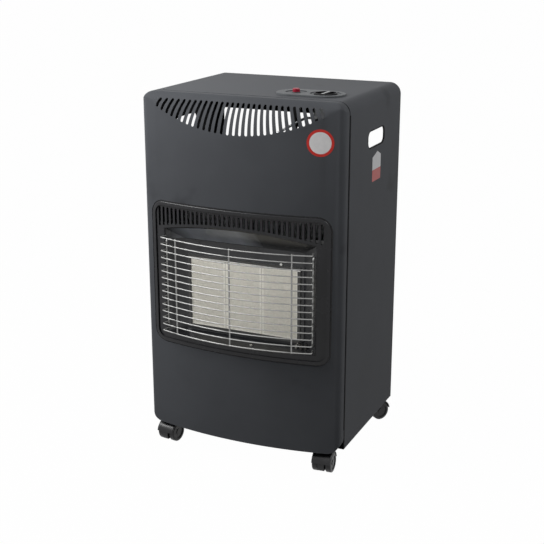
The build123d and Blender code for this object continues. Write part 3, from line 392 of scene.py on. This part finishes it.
dress(plated_wire(), "guard")
dress(bright_metal("galvanised_sheet", (0.50, 0.51, 0.52), 0.42, 0.009), "heat_shield", "burner_box",
      "injector_bracket", "valve_bracket", "mixing_tube_left", "mixing_tube_middle", "mixing_tube_right")
dress(plaque_frame_steel(), "plaque_frame")
dress(bright_metal("zinc_screws", (0.60, 0.60, 0.58), 0.32, 0.003), "rail_screws", "base_screws",
      "burner_screws", "caster_sockets")
dress(bright_metal("flame_darkened", (0.07, 0.065, 0.06), 0.50, 0.003), "pilot_burner", "thermocouple")
dress(bright_metal("axle_steel", (0.58, 0.58, 0.59), 0.25, 0.004),
      *[f"{end}_{side}_caster_axle" for end in ("front", "rear") for side in ("left", "right")])
dress(bright_metal("machined_brass", (0.66, 0.47, 0.20), 0.30, 0.002), "injectors", "hose_nozzle",
      "valve_nut", "valve_spindle")
dress(bright_metal("cast_valve", (0.42, 0.43, 0.44), 0.50, 0.0015), "gas_valve")
dress(bright_metal("drawn_pipe", (0.55, 0.56, 0.57), 0.36, 0.006), "feed_rail", "side_burner_pipe",
      "middle_burner_pipe", "pilot_pipe")
print("finishes so far:", len([m for m in bpy.data.materials if m.users]))

# %% [markdown]
# ## Plastics, fibre and glaze
#
# The control panel and the knob are fine-grained black plastic, the button is a plain dark red, and the
# caster hoods and wheels are smooth black nylon. The grain is a bump with blobs of under a millimetre; on
# smooth parts only a slow wave is left, which bends the highlights the way moulded plastic does. The same
# recipe, with other numbers, gives the electrode's glaze, the lead's sleeve and the fibre gasket.

# %% Moulded plastics


def moulded_plastic(name, colour, rough, grain_size, grain_height, lighter=1.2, gloss=0.5):
    finish, shader, place = new_finish(name, colour, rough, gloss=gloss)
    soft = cloud(finish, place, 0.015)
    blend_colours(finish, shader, soft, colour, tuple(lighter * c for c in colour))
    vary_roughness(finish, shader, soft, rough - 0.04, rough + 0.06)
    ripple(finish, shader, cloud(finish, place, grain_size, 2.0), grain_height, 0.5)
    return finish


bezel_plastic = moulded_plastic("bezel_plastic", (0.07, 0.074, 0.078), 0.42, 0.0006, 0.00004, gloss=0.05)
knob_plastic = moulded_plastic("knob_plastic", (0.006, 0.006, 0.007), 0.38, 0.0008, 0.00004, gloss=0.08)
button_plastic = moulded_plastic("button_plastic", (0.20, 0.003, 0.016), 0.30, 0.006, 0.00003, gloss=0.2)
nylon = moulded_plastic("caster_nylon", (0.012, 0.012, 0.013), 0.32, 0.004, 0.00005, gloss=0.3)
tread_plastic = moulded_plastic("wheel_tread", (0.014, 0.014, 0.015), 0.42, 0.003, 0.00005, gloss=0.3)
dress(bezel_plastic, "control_bezel")
dress(knob_plastic, "control_knob")
dress(button_plastic, "igniter_button")
igniter_plastic = moulded_plastic("igniter_body", (0.015, 0.015, 0.015), 0.45, 0.001, 0.00004)
dress(igniter_plastic, "piezo_igniter", "igniter_nut")
for end in ("front", "rear"):
    for side in ("left", "right"):
        dress(nylon, f"{end}_{side}_caster_hood")
        dress(tread_plastic, f"{end}_{side}_wheel_inner", f"{end}_{side}_wheel_outer")
electrode_glaze = moulded_plastic("electrode_glaze", (0.22, 0.21, 0.19), 0.15, 0.004, 0.00002, 1.05)
dress(electrode_glaze, "ignition_electrode")
dress(moulded_plastic("lead_sleeve", (0.02, 0.02, 0.02), 0.6, 0.002, 0.00005), "ignition_lead")
dress(moulded_plastic("gasket_fibre", (0.62, 0.60, 0.53), 0.95, 0.0012, 0.0003, 1.15, 0.1), "plaque_gasket")
print("plastics dressed; bare nodes:", [n for n, o in heater.items() if not o.data.materials])

# %% [markdown]
# ## The knob's pointer
#
# The knob is a shallow cup with a grip bar across it, and the bar's top carries a pale strip that shows
# which way the knob points. It is a thin bar of its own, made from a cube that is scaled to size and
# bevelled, and it lies on the grip, so it rides with the knob.

# %% Pointer strip
STRIP = (0.0034, 0.036, 0.0006)                   # width, length and thickness
STRIP_RISE = 0.0002                               # its middle, above the grip
STRIP_BEVEL = 0.00025
knob_low, knob_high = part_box("control_knob")
knob_middle = (knob_low + knob_high) / 2


def select_only(piece):
    bpy.ops.object.select_all(action="DESELECT")
    piece.select_set(True)
    bpy.context.view_layer.objects.active = piece


def settle(piece):
    """Moves the piece's place into its mesh, so that its object sits at the origin."""
    select_only(piece)
    bpy.ops.object.transform_apply(location=True, rotation=True, scale=True)
    return piece


bpy.ops.object.select_all(action="DESELECT")
bpy.ops.mesh.primitive_cube_add(size=1, location=(knob_middle.x, knob_middle.y, knob_high.z + STRIP_RISE))
pointer = bpy.context.object
pointer.name = "knob_pointer"
pointer.scale = STRIP
settle(pointer)
bpy.ops.object.mode_set(mode="EDIT")
bpy.ops.mesh.select_all(action="SELECT")
bpy.ops.mesh.bevel(offset=STRIP_BEVEL, segments=2)
bpy.ops.object.mode_set(mode="OBJECT")
pointer.data.materials.append(moulded_plastic("pointer_print", (0.30, 0.31, 0.31), 0.45, 0.001, 0.00002))
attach(pointer, "knob")
print("pointer faces:", len(pointer.data.polygons))

# %% [markdown]
# ## Stickers
#
# Two printed stickers sit on the cabinet: a round one at the top right of the bowed front, and one by the
# hand hole on the right side. Both are left plain. The round one is a red ring round a pale disc. It starts
# as a filled circle and is inset for the ring and twice more, so that it has enough corners to bend when it
# is shrunk onto the bow. A stretched texture on the panel could do it too, but its edge would be soft.

# %% Round sticker
RING_PLACE = Vector((0.167, -0.19, 0.663))
RING_RADIUS, RING_WIDTH = 0.025, 0.005
DISC_STEP = 0.006                                 # spacing of the loops that let the disc bend
PRINT_GAP = 0.00018                               # how far the sticker stands off the enamel


def sticker_print(name, colour):
    finish, shader, place = new_finish(name, colour, 0.32, gloss=0.15)
    soft = cloud(finish, place, 0.01)
    blend_colours(finish, shader, soft, tuple(0.94 * c for c in colour), colour)
    vary_roughness(finish, shader, soft, 0.28, 0.38)
    ripple(finish, shader, cloud(finish, place, 0.003), 0.00002, 0.3)
    return finish


def lay_on(piece, target, gap):
    """Moves a flat piece's corners along Y onto the target, a little above its surface."""
    select_only(piece)
    wrap = piece.modifiers.new("lay on", "SHRINKWRAP")
    wrap.target = target
    wrap.wrap_method = "PROJECT"
    wrap.use_project_y = True
    wrap.use_negative_direction = True
    wrap.use_positive_direction = True
    wrap.offset = gap
    bpy.ops.object.modifier_apply(modifier="lay on")


bpy.ops.object.select_all(action="DESELECT")
bpy.ops.mesh.primitive_circle_add(vertices=64, radius=RING_RADIUS, fill_type="NGON",
                                  location=RING_PLACE, rotation=(math.pi / 2, 0, 0))
ring_sticker = settle(bpy.context.object)
ring_sticker.name = "round_sticker"
bpy.ops.object.mode_set(mode="EDIT")
bpy.ops.mesh.select_all(action="SELECT")
for thickness in (RING_WIDTH, DISC_STEP, DISC_STEP):
    bpy.ops.mesh.inset(thickness=thickness)
bpy.ops.mesh.poke()
bpy.ops.object.mode_set(mode="OBJECT")
lay_on(ring_sticker, heater["front_panel"], PRINT_GAP)
ring_sticker.data.materials.append(sticker_print("sticker_red", (0.52, 0.035, 0.028)))
ring_sticker.data.materials.append(sticker_print("sticker_pale", (0.66, 0.65, 0.65)))
for face in ring_sticker.data.polygons:
    away = (face.center - Vector((RING_PLACE.x, face.center.y, RING_PLACE.z))).length
    face.material_index = 0 if away > RING_RADIUS - 1.1 * RING_WIDTH else 1
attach(ring_sticker, "cabinet")
print("round sticker faces:", len(ring_sticker.data.polygons))

# %% [markdown]
# ## Label beside the hand hole
#
# The label on the side is a tall field with a pointed top, pale above and red below. It starts as a plane,
# is cut once where the colours meet and once under the point, and the middle corner of its top edge is then
# moved up.

# %% Side sticker
SIDE_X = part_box("cabinet_shell")[1].x + 0.0001     # a hair outside the side wall
LABEL_LOW, LABEL_HIGH, LABEL_PEAK = (-0.008, 0.562), (0.040, 0.610), (0.020, 0.619)    # Y and Z of each
LABEL_RED = 0.585                                 # height up to which the label is red
bpy.ops.object.select_all(action="DESELECT")
bpy.ops.mesh.primitive_plane_add(size=1, location=(SIDE_X, (LABEL_LOW[0] + LABEL_HIGH[0]) / 2,
                                                   (LABEL_LOW[1] + LABEL_HIGH[1]) / 2),
                                 rotation=(0, math.pi / 2, 0))
side_sticker = bpy.context.object
side_sticker.name = "side_sticker"
side_sticker.scale = (LABEL_HIGH[1] - LABEL_LOW[1], LABEL_HIGH[0] - LABEL_LOW[0], 1)
settle(side_sticker)
bpy.ops.object.mode_set(mode="EDIT")
bpy.ops.mesh.select_all(action="SELECT")
bpy.ops.mesh.bisect(plane_co=(SIDE_X, 0, LABEL_RED), plane_no=(0, 0, 1))
bpy.ops.mesh.select_all(action="SELECT")
bpy.ops.mesh.bisect(plane_co=(SIDE_X, LABEL_PEAK[0], 0), plane_no=(0, 1, 0))
bpy.ops.mesh.select_mode(type="VERT")
bpy.ops.mesh.select_all(action="DESELECT")
bpy.ops.object.mode_set(mode="OBJECT")
under_peak = Vector((LABEL_PEAK[0], LABEL_HIGH[1]))
for corner in side_sticker.data.vertices:
    corner.select = (corner.co.yz - under_peak).length < 0.001
bpy.ops.object.mode_set(mode="EDIT")
bpy.ops.transform.translate(value=(0, 0, LABEL_PEAK[1] - LABEL_HIGH[1]))
bpy.ops.object.mode_set(mode="OBJECT")
side_sticker.data.materials.append(sticker_print("label_pale", (0.46, 0.46, 0.47)))
side_sticker.data.materials.append(sticker_print("label_red", (0.34, 0.033, 0.026)))
for face in side_sticker.data.polygons:
    face.material_index = 1 if face.center.z < LABEL_RED else 0
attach(side_sticker, "cabinet")
print("side sticker faces:", len(side_sticker.data.polygons))

# %% [markdown]
# ## Studio floor and room
#
# The heater was photographed on plain white. A floor lit until it looks white would throw that light back
# at the heater, so floor and room only look white: rays from the camera, and rays that come off gloss or
# through glass, see a plain white, while the light that reaches the enamel comes from dull paper and a dim
# sky. A hundredth of the paper shows through, which keeps the shadow under the casters.

# %% White for the eye only
WHITE = (1, 1, 1, 1)
PAPER = (0.3, 0.3, 0.3, 1)
WHITE_SHARE = 0.99                                # the rest is paper, which holds the shadow
SKY_STRENGTH = 0.07


def see_white(tree):
    """1 for rays from the camera, and for mirrored and refracted rays."""
    path = tree.nodes.new("ShaderNodeLightPath")
    total = path.outputs["Is Camera Ray"]
    for kind in ("Is Glossy Ray", "Is Transmission Ray"):
        larger = tree.nodes.new("ShaderNodeMath")
        larger.operation = "MAXIMUM"
        tree.links.new(total, larger.inputs[0])
        tree.links.new(path.outputs[kind], larger.inputs[1])
        total = larger.outputs[0]
    return total


def mix_looks(tree, share, lit, seen, end):
    """Shows seen where share is 1 and lit where it is 0."""
    mix = tree.nodes.new("ShaderNodeMixShader")
    out = tree.nodes.new(end)
    tree.links.new(share, mix.inputs["Fac"])
    tree.links.new(lit, mix.inputs[1])
    tree.links.new(seen, mix.inputs[2])
    tree.links.new(mix.outputs[0], out.inputs["Surface"])


print("white for the eye, dull for the light")

# %% Floor
bpy.ops.object.select_all(action="DESELECT")
bpy.ops.mesh.primitive_plane_add(size=160, location=(0, 0, 0))
floor = bpy.context.object
floor.name = "studio_floor"
floor_white = bpy.data.materials.new("floor_white")
floor_white.use_nodes = True
tree = floor_white.node_tree
tree.nodes.clear()
paper = tree.nodes.new("ShaderNodeBsdfDiffuse")
paper.inputs["Color"].default_value = PAPER
glow = tree.nodes.new("ShaderNodeEmission")
glow.inputs["Color"].default_value = WHITE
share = tree.nodes.new("ShaderNodeMath")
share.operation = "MULTIPLY"
share.inputs[1].default_value = WHITE_SHARE
tree.links.new(see_white(tree), share.inputs[0])
mix_looks(tree, share.outputs[0], paper.outputs[0], glow.outputs[0], "ShaderNodeOutputMaterial")
floor.data.materials.append(floor_white)
print("floor size in m:", round(floor.dimensions.x))

# %% Room
room = bpy.data.worlds.new("white_room")
bpy.context.scene.world = room
room.use_nodes = True
tree = room.node_tree
tree.nodes.clear()
sky = tree.nodes.new("ShaderNodeBackground")
sky.inputs["Color"].default_value = WHITE
sky.inputs["Strength"].default_value = SKY_STRENGTH
white = tree.nodes.new("ShaderNodeBackground")
white.inputs["Color"].default_value = WHITE
mix_looks(tree, see_white(tree), sky.outputs[0], white.outputs[0], "ShaderNodeOutputWorld")
print("sky strength for the light:", SKY_STRENGTH)

# %% [markdown]
# ## Lamps
#
# A square lamp stands close at the front left and rolls the light across the bowed front; being close, it
# fades towards the casters as in the photograph. A weaker one opens the right side, and a large faint one
# lights the top. Lamps further away would be simpler to place, but would leave the front one flat shade.

# %% Lamps
AIM = Vector((0, -0.05, 0.38))


def soft_lamp(name, place, side, power):
    """A square lamp that faces the heater."""
    lamp = bpy.data.objects.new(name, bpy.data.lights.new(name, "AREA"))
    lamp.data.shape = "SQUARE"
    lamp.data.size = side
    lamp.data.energy = power
    lamp.location = place
    lamp.rotation_euler = (AIM - Vector(place)).to_track_quat("-Z", "Y").to_euler()
    bpy.context.scene.collection.objects.link(lamp)


soft_lamp("front_left_lamp", (-0.9, -0.75, 1.3), 0.8, 29)
soft_lamp("right_lamp", (1.4, -0.2, 1.7), 0.8, 17)
soft_lamp("top_lamp", (0.5, 0.6, 2.4), 1.8, 1.5)

# %% [markdown]
# ## Camera
#
# The camera was found from the photograph itself: the heater's vertical edges, its top outline and the
# guard's evenly spaced wires fix the direction, distance and lens together. It stands to the right and a
# little above. The lens comes out in pixels, as does the point where the lens axis meets the picture, so
# both are turned into millimetres and shifts of the sensor.

# %% Camera
AZIMUTH, ELEVATION = math.radians(24.43), math.radians(17.16)
DISTANCE = 2.29211
PICTURE, SENSOR = 544, 36                         # pixels and millimetres across
LENS_PIXELS, AXIS_X, AXIS_Y = 1096.49, 273.775, 269.869
LOOK_AT = Vector((-0.007515, 0.0103, 0.351193))
back = Vector((math.sin(AZIMUTH) * math.cos(ELEVATION), -math.cos(AZIMUTH) * math.cos(ELEVATION),
               math.sin(ELEVATION)))
camera = bpy.data.objects.new("camera", bpy.data.cameras.new("camera"))
camera.data.sensor_width = SENSOR
camera.data.lens = SENSOR * LENS_PIXELS / PICTURE
camera.data.shift_x = -(AXIS_X - PICTURE / 2) / PICTURE
camera.data.shift_y = (AXIS_Y - PICTURE / 2) / PICTURE
camera.location = LOOK_AT + back * DISTANCE
camera.rotation_euler = (-back).to_track_quat("-Z", "Y").to_euler()
bpy.context.scene.collection.objects.link(camera)
bpy.context.scene.camera = camera
bpy.context.scene.view_settings.view_transform = "Standard"
print("camera at", [round(c, 3) for c in camera.location])
